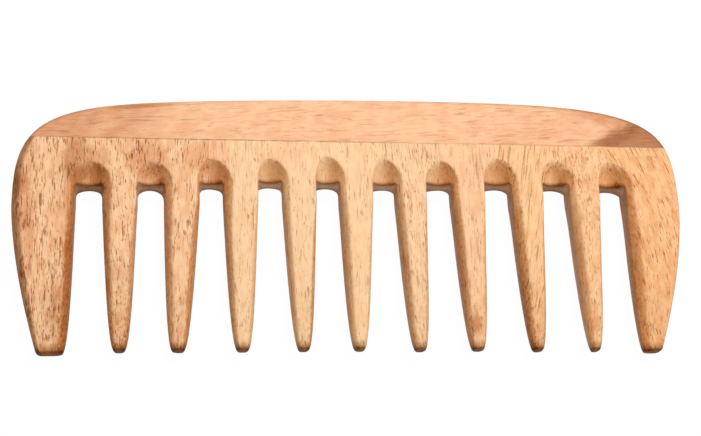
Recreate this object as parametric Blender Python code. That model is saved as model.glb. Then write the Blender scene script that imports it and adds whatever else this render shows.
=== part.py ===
"""A wide-tooth wooden comb, glued up from a spine and a row of staves.

The comb lies flat on its back. X runs along its length, Y from the tooth tips to the spine
and Z out of its front face. Z is 0 at the back face, and X and Y are 0 at the middle of the
comb. All lengths are in metres.
"""
import math

import bmesh
import bpy

# Row of teeth
TOOTH_COUNT = 11
PITCH = 0.0150
TOOTH_LENGTH = 0.0449
END_TOOTH_EXTRA = 0.0008
TIP_DROP = 0.0020
ROOT_WIDTH = 0.0086
TIP_WIDTH = 0.0015
WIDTH_POWER = 0.38

# How far each hand-sawn flank stands proud, as shares of the pitch, from the left tooth to the
# right: the left flank at root and tip, then the right flank at root and tip
FLANK_SHARES = (
    (0.00, 0.00, -0.02, 0.04),
    (0.01, -0.02, 0.01, 0.03),
    (-0.03, 0.04, 0.07, -0.01),
    (-0.02, -0.02, 0.05, 0.04),
    (-0.03, -0.04, 0.04, 0.04),
    (-0.02, 0.03, 0.02, -0.03),
    (0.00, 0.01, -0.06, 0.00),
    (0.02, 0.03, -0.03, -0.01),
    (-0.03, -0.01, 0.01, 0.01),
    (-0.07, -0.03, 0.03, 0.00),
    (-0.10, 0.04, 0.00, 0.00),
)
# How much higher than the rest each gap is sawn, as shares of the pitch
GAP_SHARES = (-0.01, 0.00, 0.01, 0.03, 0.01, 0.02, 0.02, 0.01, -0.02, -0.03)

# Body above the gaps
END_STAVE_WIDTH = 0.0191
WEB_HEIGHT = 0.0116
SPINE_HEIGHT = 0.0126
SEAM_DROP = 0.0025

# Outer edge
SHOULDER_HEIGHT = 0.0348
CROWN_DROP = 0.0020
SIDE_POWER = 6.7
TOP_POWER = 4.35
LEFT_LEAN = 0.0071
RIGHT_LEAN = 0.0091
LEAN_POWER = 1.6
WIDEST_BELOW_WEB = 0.0044
CORNER_ROUND = 0.0022
EDGE_ROUND = 0.0020
EDGE_DEPTH = 0.0026

# Thickness
THICKNESS = 0.0086
TIP_THICKNESS = 0.0037
TAPER_LENGTH = 0.0300
TAPER_POWER = 1.8
END_ROUND = 0.0004

# Ground flanks of the teeth and scoops above the gaps
BEVEL_WIDTH = 0.0017
BEVEL_RUN = 0.0100
BEVEL_DEPTH_SHARE = 0.48
BEVEL_CROWN_SHARE = 0.06
SCOOP_RISE = 0.0061
SCOOP_DEPTH = 0.0025
ROOT_FILLET = 0.0010
FLANK_MARGIN = 0.0008

# Glued joints
GLUE_GAP = 0.0003
TONGUE_HEIGHT = 0.0030
TONGUE_THICKNESS = 0.0032
TONGUE_ROOT = 0.0020
TONGUE_SHOULDER = 0.0004
TONGUE_END_MARGIN = 0.0070
GROOVE_OVERRUN = 0.0020

# Steps of the surfaces
TOOTH_ROW_SHARES = (0.0, 0.014, 0.045, 0.10, 0.18, 0.28, 0.40, 0.53, 0.66, 0.80, 0.90, 1.0)
BEVEL_STEPS = 3
FILLET_STEPS = 4
WEB_STEPS = 4
SIDE_STEPS = 6
SHOULDER_STEPS = 10
CROWN_STEPS = 20
KNEE_SHARE = 0.80
SLOPE_SHARE = 0.001
HALVING_STEPS = 60
SEAM_END_STEPS = 20
SMOOTH_ANGLE = math.radians(35)

# Colours of the staves from left to right, as shares of light and of redness added to plain wood
PLAIN_WOOD = (0.86, 0.53, 0.30)
SPINE_WOOD = (0.84, 0.50, 0.28)
LIGHT_SHARES = (0.90, 0.96, 0.97, 1.00, 1.03, 1.04, 0.99, 1.03, 1.02, 0.96, 0.92)
RED_SHARES = (0.05, 0.05, 0.06, 0.03, 0.01, 0.00, 0.02, 0.00, 0.01, 0.04, 0.05)
WOOD_ROUGHNESS = 0.55

HALF_THICKNESS = THICKNESS / 2
COMB_HEIGHT = TOOTH_LENGTH + WEB_HEIGHT + SPINE_HEIGHT
TIP_Y = -COMB_HEIGHT / 2
TOP_Y = COMB_HEIGHT / 2
WEB_Y = TIP_Y + TOOTH_LENGTH
FLANK_TOP_Y = WEB_Y - ROOT_FILLET - FLANK_MARGIN
SEAM_Y = WEB_Y + WEB_HEIGHT
OUTLINE_Y = TOP_Y - SHOULDER_HEIGHT
WIDEST_Y = WEB_Y - WIDEST_BELOW_WEB
LAST_GAP_X = PITCH * (TOOTH_COUNT - 2) / 2
HALF_LENGTH = LAST_GAP_X + END_STAVE_WIDTH


def seam_height(x):
    """Y of the glue line between staves and spine, which slopes down to the right."""
    return SEAM_Y - SEAM_DROP * x / (2 * HALF_LENGTH)


def crown_height(x):
    """Y of the upper outer edge at x, a superellipse whose top sinks a little to both ends."""
    share = min(abs(x) / HALF_LENGTH, 1)
    rise = SHOULDER_HEIGHT - CROWN_DROP * share ** 2
    return OUTLINE_Y + rise * (1 - share ** SIDE_POWER) ** (1 / TOP_POWER)


def tip_height(index):
    """Y of a tooth's tip: the row of tips drops to the right, and the end teeth are longer."""
    last = TOOTH_COUNT - 1
    extra = 0 if index in (0, last) else END_TOOTH_EXTRA
    return TIP_Y + TIP_DROP * (1 - index / last) + extra


def side_reach(y, side):
    """Distance of the outer edge from the middle at height y, down to the corner of the tip."""
    if y < WIDEST_Y:
        tip_y = tip_height(0 if side < 0 else TOOTH_COUNT - 1)
        lean = LEFT_LEAN if side < 0 else RIGHT_LEAN
        share = (WIDEST_Y - y) / (WIDEST_Y - tip_y)
        reach = HALF_LENGTH - lean * share ** LEAN_POWER
        over = max(CORNER_ROUND - (y - tip_y), 0)
        return reach - CORNER_ROUND + math.sqrt(CORNER_ROUND ** 2 - min(over, CORNER_ROUND) ** 2)
    low, high = 0, HALF_LENGTH
    for _ in range(HALVING_STEPS):
        middle = (low + high) / 2
        if crown_height(middle) > y:
            low = middle
        else:
            high = middle
    return low


def seam_end(side):
    """Y where the glue line meets the outer edge on one side."""
    y = SEAM_Y
    for _ in range(SEAM_END_STEPS):
        y = seam_height(side * side_reach(y, side))
    return y


def side_point(y, side):
    """Point of the outer edge at height y with its outward direction.

    The direction is level up to the glue line, and from there it turns with the edge, so that
    stave and spine meet with the same rounded profile.
    """
    step = SLOPE_SHARE * COMB_HEIGHT
    x = side_reach(y, side)
    end_y = seam_end(side)
    share = min(max(y - end_y, 0) / (crown_height(KNEE_SHARE * HALF_LENGTH) - end_y), 1)
    slope = (side_reach(y, side) - side_reach(y + step, side)) / step
    turn = share * math.atan(slope)
    return (side * x, y), (side * math.cos(turn), math.sin(turn))


def crown_point(x):
    """Point of the upper edge at x with its outward direction."""
    step = SLOPE_SHARE * HALF_LENGTH
    slope = (crown_height(x + step) - crown_height(x - step)) / (2 * step)
    length = math.hypot(1, slope)
    return (x, crown_height(x)), (-slope / length, 1 / length)


def half_thickness(y, tip_y):
    """Half the thickness at height y: even at the body and easing down to the tips."""
    share = min((y - tip_y) / TAPER_LENGTH, 1)
    tip = TIP_THICKNESS / 2
    return tip + (HALF_THICKNESS - tip) * (1 - (1 - share) ** TAPER_POWER)


def flank_reach(y, tip_y, proud_shares):
    """Distance of a flank from the middle of its tooth, which falls fastest at the tip."""
    share = (y - tip_y) / (WEB_Y - tip_y)
    reach = (TIP_WIDTH + (ROOT_WIDTH - TIP_WIDTH) * share ** WIDTH_POWER) / 2
    root_share, tip_share = proud_shares
    return reach + PITCH * (tip_share + (root_share - tip_share) * share)


def scoop_depth(gap_x, face_gap):
    """Depth of the scoop at the edge of the web, deepest at the middle of the gap."""
    return SCOOP_DEPTH * (1 - (gap_x / face_gap) ** 2)


def flank_row(crease, wall, thickness, depth):
    """One row of a flank from the front crease over the wall to the back crease."""
    front = []
    for step in range(BEVEL_STEPS + 1):
        share = step / BEVEL_STEPS
        crown = BEVEL_CROWN_SHARE * 4 * share * (1 - share)
        x = crease[0] + (wall[0] - crease[0]) * share
        y = crease[1] + (wall[1] - crease[1]) * share
        front.append((x, y, thickness - depth * (share - crown)))
    return front + [(x, y, -z) for x, y, z in reversed(front)]


def gap_flank(tip_y, proud_shares, gap_share):
    """Rows of the side of a tooth and of the scoop above it, up to the middle of the gap.

    X is measured outward from the middle of the tooth, and Z from the middle of the comb.
    The crease on the face is a quarter ellipse over the gap. The wall turns at a small fillet
    into the flat underside of the web.
    """
    root_width = flank_reach(FLANK_TOP_Y, tip_y, proud_shares)
    wall_gap = PITCH / 2 - root_width
    face_gap = wall_gap + BEVEL_WIDTH
    root_share = scoop_depth(wall_gap, face_gap) / HALF_THICKNESS
    rows = []
    for share in TOOTH_ROW_SHARES:
        y = tip_y + (FLANK_TOP_Y - tip_y) * share
        width = flank_reach(y, tip_y, proud_shares)
        bevel = BEVEL_WIDTH * width / root_width
        thickness = half_thickness(y, tip_y) - (END_ROUND if share == 0 else 0)
        run = min((FLANK_TOP_Y - y) / BEVEL_RUN, 1)
        depth_share = root_share + (BEVEL_DEPTH_SHARE - root_share) * (1 - (1 - run) ** 2)
        rows.append(flank_row((width - bevel, y), (width, y), thickness, thickness * depth_share))
    fillet_gap = wall_gap - ROOT_FILLET
    web_y = WEB_Y + PITCH * gap_share
    fillet_y = web_y - ROOT_FILLET
    rise = SCOOP_RISE + ROOT_FILLET
    turn = math.acos(fillet_gap / face_gap)
    for step in range(FILLET_STEPS + 1):
        share = step / FILLET_STEPS
        crease_gap = face_gap * math.cos(turn * share)
        crease_y = fillet_y + rise * math.sin(turn * share)
        wall_x = fillet_gap + ROOT_FILLET * math.cos(math.pi / 2 * share)
        wall_y = fillet_y + ROOT_FILLET * math.sin(math.pi / 2 * share)
        crease = (PITCH / 2 - crease_gap, crease_y)
        wall = (PITCH / 2 - wall_x, wall_y)
        rows.append(flank_row(crease, wall, HALF_THICKNESS, scoop_depth(wall_x, face_gap)))
    for step in range(1, WEB_STEPS + 1):
        gap_x = fillet_gap + (GLUE_GAP / 2 - fillet_gap) * step / WEB_STEPS
        crease_y = fillet_y + rise * math.sqrt(1 - (gap_x / face_gap) ** 2)
        x = PITCH / 2 - gap_x
        depth = scoop_depth(gap_x, face_gap)
        rows.append(flank_row((x, crease_y), (x, web_y), HALF_THICKNESS, depth))
    return rows


def edge_row(point, outward, thickness, seam_shift=None):
    """One row of the rounded outer edge, from the front face over the wall to the back face.

    A row at the glue line keeps all its points on that line, moved by seam_shift along Y.
    """
    scale = thickness / HALF_THICKNESS
    front = []
    for step in range(BEVEL_STEPS + 1):
        turn = math.pi / 2 * step / BEVEL_STEPS
        inset = EDGE_ROUND * scale * (1 - math.sin(turn))
        x = point[0] - outward[0] * inset
        y = point[1] - outward[1] * inset
        if seam_shift is not None:
            y = seam_height(x) + seam_shift
        front.append((x, y, thickness - EDGE_DEPTH * scale * (1 - math.cos(turn))))
    return front + [(x, y, -z) for x, y, z in reversed(front)]


def outer_flank(side):
    """Rows of the outer side of an end stave, from the tip up to the glue line."""
    tip_y = tip_height(0 if side < 0 else TOOTH_COUNT - 1)
    rows = []
    for share in TOOTH_ROW_SHARES:
        y = tip_y + (FLANK_TOP_Y - tip_y) * share
        thickness = half_thickness(y, tip_y) - (END_ROUND if share == 0 else 0)
        point, outward = side_point(y, side)
        rows.append(edge_row(point, outward, thickness))
    end_y = seam_end(side)
    for step in range(1, SIDE_STEPS + 1):
        y = FLANK_TOP_Y + (end_y - FLANK_TOP_Y) * step / SIDE_STEPS
        point, outward = side_point(y, side)
        shift = -GLUE_GAP / 2 if step == SIDE_STEPS else None
        rows.append(edge_row(point, outward, HALF_THICKNESS, shift))
    return rows


def wood(name, light_share, red_share, base):
    """Bare smooth wood in one plain colour."""
    material = bpy.data.materials.new(name)
    material.use_nodes = True
    shader = material.node_tree.nodes["Principled BSDF"]
    red, green, blue = (channel * light_share for channel in base)
    colour = (min(red + red_share * base[0], 1), green, blue, 1)
    shader.inputs["Base Color"].default_value = colour
    shader.inputs["Roughness"].default_value = WOOD_ROUGHNESS
    shader.inputs["Metallic"].default_value = 0
    material.diffuse_color = colour
    return material


def add_solid(name, faces, material):
    """Make one object from faces given as lists of points, with Z moved up to the back face."""
    mesh = bpy.data.meshes.new(name)
    solid = bmesh.new()
    corners = {}
    for face in faces:
        verts = []
        for x, y, z in face:
            point = (x, y, z + HALF_THICKNESS)
            if point not in corners:
                corners[point] = solid.verts.new(point)
            verts.append(corners[point])
        solid.faces.new(verts)
    bmesh.ops.recalc_face_normals(solid, faces=solid.faces)
    solid.to_mesh(mesh)
    solid.free()
    thing = bpy.data.objects.new(name, mesh)
    bpy.context.scene.collection.objects.link(thing)
    if material:
        mesh.materials.append(material)
        mesh.shade_smooth()
        mesh.set_sharp_from_angle(angle=SMOOTH_ANGLE)
    return thing


def sheet_faces(rows):
    """Quads between neighbouring rows of points."""
    faces = []
    for lower, upper in zip(rows, rows[1:]):
        for step in range(len(lower) - 1):
            faces.append([lower[step], lower[step + 1], upper[step + 1], upper[step]])
    return faces


def seam_prism(name, left, right, below, above, half_depth):
    """A bar along the glue line, for a tongue or for the tool that cuts the groove."""
    outline = [
        (left, seam_height(left) - below),
        (right, seam_height(right) - below),
        (right, seam_height(right) + above),
        (left, seam_height(left) + above),
    ]
    front = [(x, y, half_depth) for x, y in outline]
    back = [(x, y, -half_depth) for x, y in outline]
    faces = [front, back]
    for step in range(4):
        following = (step + 1) % 4
        faces.append([front[step], front[following], back[following], back[step]])
    tool = add_solid(name, faces, None)
    tool.hide_render = True
    tool.display_type = "WIRE"
    return tool


def apply_tool(thing, tool, operation):
    """Join a bar to a solid, or cut it away."""
    modifier = thing.modifiers.new(tool.name, "BOOLEAN")
    modifier.operation = operation
    modifier.solver = "EXACT"
    modifier.object = tool


def stave_faces(left, right, left_top, right_top):
    """Faces of a stave from its two flanks, its upper corners and its flat facets.

    A flank that ends at a gap gets an upper corner, and so a flat face glued to the next stave.
    """
    faces = sheet_faces(left) + sheet_faces(right)
    faces.append(left[0] + right[0][::-1])
    rows = len(TOOTH_ROW_SHARES)
    for edge in (0, -1):
        for row in range(rows - 1):
            faces.append([left[row][edge], right[row][edge], right[row + 1][edge], left[row + 1][edge]])
        up = [row[edge] for row in right[rows - 1:]]
        down = [row[edge] for row in left[rows - 1:]][::-1]
        corners = [top[edge] for top in (right_top, left_top) if top]
        faces.append(up + corners + down)
    top_right = right_top or right[-1]
    top_left = left_top or left[-1]
    faces.append(top_left + top_right[::-1])
    for flank, top in ((left, left_top), (right, right_top)):
        if top:
            faces.append(flank[-1] + top[::-1])
    return faces


def move_flank(rows, centre_x, side):
    """A gap flank set at one side of a tooth."""
    return [[(centre_x + side * x, y, z) for x, y, z in row] for row in rows]


def upper_corners(x):
    """Front and back corner of a stave at the glue line."""
    y = seam_height(x) - GLUE_GAP / 2
    return [(x, y, HALF_THICKNESS), (x, y, -HALF_THICKNESS)]


def tongue_reach(side):
    """Distance from the middle at which the tongue of an end stave stops."""
    return side_reach(seam_end(side), side) - TONGUE_END_MARGIN


def make_stave(index):
    """One stave: a tooth, its share of the web above the gaps and the tongue on top."""
    centre_x = PITCH * (index - (TOOTH_COUNT - 1) / 2)
    half_width = (PITCH - GLUE_GAP) / 2
    flanks = {}
    tops = {}
    ends = {}
    last = TOOTH_COUNT - 1
    for side, at_end in ((-1, index == 0), (1, index == last)):
        if at_end:
            flanks[side] = outer_flank(side)
            tops[side] = None
            ends[side] = side * tongue_reach(side)
        else:
            shares = FLANK_SHARES[index % len(FLANK_SHARES)]
            proud_shares = shares[:2] if side < 0 else shares[2:]
            gap_share = GAP_SHARES[(index + (side - 1) // 2) % len(GAP_SHARES)]
            rows = gap_flank(tip_height(index), proud_shares, gap_share)
            flanks[side] = move_flank(rows, centre_x, side)
            tops[side] = upper_corners(centre_x + side * half_width)
            ends[side] = centre_x + side * (half_width - TONGUE_SHOULDER)
    name = f"tooth_{index + 1:02d}"
    material = wood(f"{name}_wood", LIGHT_SHARES[index % len(LIGHT_SHARES)],
                    RED_SHARES[index % len(RED_SHARES)], PLAIN_WOOD)
    faces = stave_faces(flanks[-1], flanks[1], tops[-1], tops[1])
    stave = add_solid(name, faces, material)
    tongue = seam_prism(f"{name}_tongue", ends[-1], ends[1], TONGUE_ROOT, TONGUE_HEIGHT,
                        TONGUE_THICKNESS / 2)
    apply_tool(stave, tongue, "UNION")
    return stave


def spine_rows():
    """Rows of the rounded edge of the spine, from the right end of the glue line to the left."""
    knee_x = KNEE_SHARE * HALF_LENGTH
    knee_y = crown_height(knee_x)
    rows = []
    for side in (1, -1):
        end_y = seam_end(side)
        half = []
        for step in range(SHOULDER_STEPS):
            y = end_y + (knee_y - end_y) * step / SHOULDER_STEPS
            point, outward = side_point(y, side)
            shift = GLUE_GAP / 2 if step == 0 else None
            half.append(edge_row(point, outward, HALF_THICKNESS, shift))
        if side > 0:
            rows += half
            for step in range(CROWN_STEPS + 1):
                point, outward = crown_point(knee_x * (1 - 2 * step / CROWN_STEPS))
                rows.append(edge_row(point, outward, HALF_THICKNESS))
        else:
            rows += half[::-1]
    return rows


def make_spine():
    """The back of the comb, with the groove for the tongues along its underside."""
    rows = spine_rows()
    faces = sheet_faces(rows)
    faces.append([row[0] for row in rows])
    faces.append([row[-1] for row in rows])
    faces.append(rows[0] + rows[-1][::-1])
    spine = add_solid("spine", faces, wood("spine_wood", 1, 0, SPINE_WOOD))
    groove = seam_prism("spine_groove", -tongue_reach(-1) - GLUE_GAP, tongue_reach(1) + GLUE_GAP,
                        GROOVE_OVERRUN, TONGUE_HEIGHT + GLUE_GAP, TONGUE_THICKNESS / 2 + GLUE_GAP)
    apply_tool(spine, groove, "DIFFERENCE")
    return spine


def main():
    """Clear the scene and build the comb."""
    for thing in list(bpy.data.objects):
        bpy.data.objects.remove(thing, do_unlink=True)
    make_spine()
    for index in range(TOOTH_COUNT):
        make_stave(index)


main()
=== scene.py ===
"""The looks of a wide-tooth wooden comb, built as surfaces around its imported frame.

X runs along the comb, Y from the tooth tips to the spine and Z out of its front face. Each piece
is a grid of points: rings round a stave or round the spine, which follow one another along it.
All lengths are in metres.
"""

import math

import bmesh
import bpy
import numpy as np
from bpy.props import FloatProperty, FloatVectorProperty, PointerProperty
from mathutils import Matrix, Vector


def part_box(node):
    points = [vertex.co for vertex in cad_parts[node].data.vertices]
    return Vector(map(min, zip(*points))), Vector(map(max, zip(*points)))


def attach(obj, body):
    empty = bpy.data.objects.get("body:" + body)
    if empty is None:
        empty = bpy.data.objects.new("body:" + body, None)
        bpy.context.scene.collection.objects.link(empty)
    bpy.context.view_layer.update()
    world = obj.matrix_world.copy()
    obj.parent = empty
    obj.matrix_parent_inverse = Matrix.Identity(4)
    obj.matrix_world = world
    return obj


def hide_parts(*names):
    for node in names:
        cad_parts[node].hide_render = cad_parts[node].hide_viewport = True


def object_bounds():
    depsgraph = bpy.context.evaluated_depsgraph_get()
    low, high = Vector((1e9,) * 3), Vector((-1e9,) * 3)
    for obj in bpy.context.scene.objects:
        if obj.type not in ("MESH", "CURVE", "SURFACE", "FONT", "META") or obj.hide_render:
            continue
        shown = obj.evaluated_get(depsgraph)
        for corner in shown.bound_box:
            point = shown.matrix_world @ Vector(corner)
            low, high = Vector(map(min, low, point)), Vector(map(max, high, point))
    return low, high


bl_info = {
    "name": "Wide-Tooth Wooden Comb",
    "version": (1, 0, 0),
    "blender": (4, 5, 0),
    "location": "3D View > Sidebar > Comb",
    "description": "Builds a glued-up wooden comb, its wood and the stage it is seen on",
    "category": "Add Mesh",
}

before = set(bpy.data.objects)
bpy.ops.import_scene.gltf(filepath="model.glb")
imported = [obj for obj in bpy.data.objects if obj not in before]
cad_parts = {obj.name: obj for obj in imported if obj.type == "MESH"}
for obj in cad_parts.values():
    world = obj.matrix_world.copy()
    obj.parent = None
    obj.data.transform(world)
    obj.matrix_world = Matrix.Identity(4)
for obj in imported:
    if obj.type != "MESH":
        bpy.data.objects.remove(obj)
CAD_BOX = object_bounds()
BODY = "root"

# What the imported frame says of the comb
STAVES = sorted(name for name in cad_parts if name.startswith("tooth"))
STAVE_BOXES = [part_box(name) for name in STAVES]
SPINE_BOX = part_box("spine")
THICKNESS = SPINE_BOX[1].z
HALF_THICKNESS = THICKNESS / 2
HALF_LENGTH = STAVE_BOXES[-1][1].x
TIP_Y = CAD_BOX[0].y
TOP_Y = CAD_BOX[1].y
LAST = len(STAVES) - 1
PITCH = (STAVE_BOXES[-2][0].x - STAVE_BOXES[1][0].x) / (LAST - 2)

# Points of the grids
TOOTH_ROWS = 110
ROW_POWER = 1.6
FILLET_ROWS = 14
WEB_ROWS = 16
JOINT_ROWS = 18
CREASE_POINTS = 7
FACET_POINTS = 7
CORNER_POINTS = 5
WALL_POINTS = 6
FACE_POINTS = 16
END_FACE_POINTS = 30
EDGE_POINTS = 18
SHOULDER_COLUMNS = 70
CROWN_COLUMNS = 260
HEIGHT_POINTS = 20
FACE_POWER = 1.5
WALL_STEPS = np.linspace(0, 1, WALL_POINTS + 1)[None, 1:]

# How outlines are followed, how far roundings may reach, and what meshes merge and smooth
HALVINGS = 40
KNEE_SHARE = 0.80
SLOPE_SHARE = 0.001
ROUND_LIMIT_SHARE = 0.4
SMOOTH_ANGLE = math.radians(40)
MERGE_DISTANCE = 0.000001

# How much shorter some teeth are sawn than the space their pieces take
TIP_TRIMS = {0: 0.00015, 3: 0.0001, 4: 0.0002, 5: 0.00025, 6: 0.0001, 7: 0.0002, LAST: 0.00045}

# How far each hand-sawn flank stands proud, as shares of the pitch, from the left tooth to the
# right: the left flank at root and tip, then the right flank at root and tip
FLANK_SHARES = (
    (0.00, 0.00, -0.02, 0.04),
    (0.01, -0.02, 0.01, 0.03),
    (-0.03, 0.04, 0.07, -0.01),
    (-0.02, -0.02, 0.05, 0.04),
    (-0.03, -0.04, 0.04, 0.04),
    (-0.02, 0.03, 0.02, -0.03),
    (0.00, 0.01, -0.06, 0.00),
    (0.02, 0.03, -0.03, -0.01),
    (-0.03, -0.01, 0.01, 0.01),
    (-0.07, -0.03, 0.03, 0.00),
    (-0.10, 0.06, 0.00, 0.00),
)
# Width of the facets beside a face, as shares of the usual one, in the same order
BEVEL_SHARES = (
    (1.0, 1.0, 4.6, 1.9),
    (1.8, 1.2, 1.0, 1.1),
    (1.6, 1.2, 3.0, 1.8),
    (1.6, 1.1, 1.0, 1.0),
    (1.1, 0.9, 1.0, 1.0),
    (1.0, 1.0, 1.0, 0.9),
    (1.0, 1.0, 1.0, 1.0),
    (1.0, 1.0, 1.0, 1.0),
    (1.1, 1.3, 1.0, 1.0),
    (1.0, 1.1, 1.0, 1.0),
    (1.2, 1.3, 1.0, 1.0),
)
# How much higher than the rest each gap and its scoop are cut, and how high the left and the
# right half of the gap's end are arched, as shares of the pitch
GAP_SHARES = (
    (-0.030, 0.045, 0.09, 0.11),
    (-0.025, 0.040, 0.12, 0.17),
    (0.000, 0.070, 0.06, 0.10),
    (0.020, 0.055, 0.05, 0.07),
    (0.005, 0.115, 0.04, 0.12),
    (-0.020, 0.085, 0.03, 0.09),
    (-0.020, 0.055, 0.04, 0.12),
    (-0.015, 0.100, 0.05, 0.14),
    (-0.030, 0.070, 0.04, 0.15),
    (-0.060, 0.075, 0.05, 0.17),
)

# The dark rim, painted shade where the rounded outer edge turns away from the light: how much of
# it the spine has in the middle and gains towards its ends, and how many times its own width it
# could reach over the face of an end stave
RIM_SHADE_AT_MIDDLE = 0.35
LEFT_RIM_SHADE_GAIN = 0.8
RIGHT_RIM_SHADE_GAIN = 1.5
FACE_RIM_SHADE = 7.0

# Channels of a grid of points: their places, and marks that the wood reads; the ground mark
# carries painted shade with the wood's own brown, and the rim mark painted shade
X, Y, Z, GROUND_AND_SHADE, SCOOP, ACROSS, RIM_SHADE = range(7)
MARK_CHANNELS = {"ground": GROUND_AND_SHADE, "scoop": SCOOP, "across": ACROSS, "rim": RIM_SHADE}
MARKS = (*MARK_CHANNELS, "tip", "seam")

# How brown the ground flanks are, partly the wood's own brown and partly painted shade: the left
# one at root and tip, then the right one at root and tip
FLANK_BROWN_AND_SHADE = (
    (1.0, 1.0, 1.4, 2.2),
    (1.6, 1.1, 0.7, 0.9),
    (1.2, 1.0, 1.3, 1.6),
    (1.4, 1.1, 0.4, 0.6),
    (0.8, 0.75, 1.1, 1.4),
    (0.9, 0.9, 0.3, 0.5),
    (0.9, 1.0, 0.6, 0.5),
    (1.2, 1.2, 0.4, 0.6),
    (0.9, 1.7, 0.4, 0.8),
    (0.45, 0.6, 0.5, 0.7),
    (0.9, 1.2, 1.0, 1.0),
)
# How brown each scoop is at its left end, in its middle and at its right end, and the wall below it:
# partly the ground wood's own brown, and partly painted shade, deepest on a scoop's right side
SCOOP_BROWN_AND_SHADE = (
    (0.7, 1.0, 2.3, 2.0),
    (0.5, 0.55, 1.7, 1.6),
    (0.5, 0.6, 1.8, 1.1),
    (0.6, 0.95, 1.6, 0.3),
    (0.3, 0.55, 1.4, 0.5),
    (0.4, 0.7, 1.6, 0.3),
    (0.5, 1.0, 1.8, 0.9),
    (0.6, 0.95, 1.7, 1.3),
    (0.5, 0.5, 1.6, 1.7),
    (0.5, 0.6, 1.6, 1.5),
)


def length(name, value, description):
    """A property that holds a length in metres."""
    return FloatProperty(name=name, description=description, default=value, min=0.0, precision=5,
                         unit="LENGTH")


def share(name, value, description):
    """A property that holds a share or a power."""
    return FloatProperty(name=name, description=description, default=value)


def colour(name, value, description):
    """A property that holds a colour."""
    return FloatVectorProperty(name=name, description=description, default=value, size=3,
                               subtype="COLOR", min=0.0, max=1.0)


class CombSizes(bpy.types.PropertyGroup):
    """Sizes that shape the staves and the spine."""

    tooth_length: length("Tooth length", 0.0449, "From the lowest tip to the edge of the web")
    root_width: length("Root width", 0.0088, "Width of a tooth at the web")
    tip_width: length("Tip width", 0.0019, "Width of a tooth at its end")
    width_power: share("Width power", 0.42, "How fast a tooth widens behind its tip")
    tip_thickness: length("Tip thickness", 0.0037, "Thickness of a tooth at its end")
    taper_length: length("Taper length", 0.0300, "How far up a tooth thins")
    taper_power: share("Taper power", 1.8, "How the thinning eases out")
    end_round: length("End rounding", 0.00025, "Rounding of the faces at a tip")
    bevel_width: length("Bevel width", 0.0017, "Width of the ground facet beside a face")
    bevel_run: length("Bevel run", 0.0100, "Over which the facet turns into the scoop")
    bevel_depth: share("Bevel depth", 0.48, "Share of the half thickness that a facet takes")
    bevel_crown: share("Bevel crown", 0.06, "How much a facet bulges, as a share of its depth")
    bevel_power: share("Bevel power", 0.8, "How fast a facet narrows with its tooth")
    right_bevel_width: length("Right bevel width", 0.0013, "Width of the facet on a right flank")
    right_bevel_run: length("Right bevel run", 0.0240, "Over which the right facet widens")
    wall_bulge: share("Wall bulge", 0.10, "How much a side wall bulges, as a share of its facet")
    root_bevel: length("Root bevel", 0.0016, "Width of the facet on a left flank at the web")
    right_root_bevel: length("Right root bevel", 0.00025, "The same on a right flank")
    scoop_lip: length("Scoop lip", 0.0009, "From the web's lip down to the middle of its underside")
    scoop_hollow: share("Scoop hollow", 0.20, "How much a scoop is hollowed, as a share")
    scoop_rise: length("Scoop rise", 0.0061, "Height of the scoop above the web's edge")
    scoop_depth: length("Scoop depth", 0.0025, "Depth of the scoop at the web's edge")
    # A scoop's brown is partly painted shade; these say over what share of its height it comes in
    left_shade_fade: share("Left fade", 0.40, "Share of a scoop's height over which its left half turns brown")
    right_shade_fade: share("Right fade", 0.08, "The same for its right half")
    root_fillet: length("Root fillet", 0.0007, "Fillet between tooth and web")
    flank_margin: length("Flank margin", 0.0034, "From the fillet down to where flanks start")
    crease_round: length("Crease rounding", 0.0005, "Softness of the crease beside a face")
    corner_round: length("Corner rounding", 0.0004, "Rounding between facet and side wall")
    web_height: length("Web height", 0.0116, "From the web's edge to the glue line")
    seam_drop: length("Seam drop", 0.0025, "How far the glue line drops from left to right")
    hairline: length("Hairline", 0.00001, "Gap that is left at a glued joint")
    tongue_height: length("Tongue height", 0.0030, "Height of the tongue on a stave")
    tongue_thickness: length("Tongue thickness", 0.0032, "Thickness of the tongue")
    tongue_shoulder: length("Tongue shoulder", 0.0004, "From a stave's side to its tongue")
    tongue_margin: length("Tongue margin", 0.0070, "From the comb's side to the last tongue")
    groove_gap: length("Groove gap", 0.0003, "Room round the tongues in the groove")
    shoulder_height: length("Shoulder height", 0.0348, "Height of the outline's upper half")
    crown_drop: length("Crown drop", 0.0028, "How far the top sinks towards the left end")
    side_power: share("Side power", 8.0, "Squareness of the outline's left end along X")
    top_power: share("Top power", 4.0, "Squareness of the outline's left end along Y")
    right_crown_drop: length("Right crown drop", 0.0024, "How far the top sinks to the right")
    right_side_power: share("Right side power", 6.2, "Squareness of the right end along X")
    right_top_power: share("Right top power", 4.75, "Squareness of the right end along Y")
    left_lean: length("Left lean", 0.0071, "How far the left side draws in at the tip")
    right_lean: length("Right lean", 0.0091, "How far the right side draws in at the tip")
    lean_power: share("Lean power", 1.6, "How the sides bend in towards the tips")
    widest_drop: length("Widest point", 0.0044, "From the web's edge down to the widest point")
    tip_corner: length("Tip corner", 0.0007, "Rounding of the comb's lower corners")
    edge_round: length("Edge rounding", 0.0020, "Width of the rounded outer edge")
    edge_depth: length("Edge depth", 0.0026, "Depth of the rounded outer edge")


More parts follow.
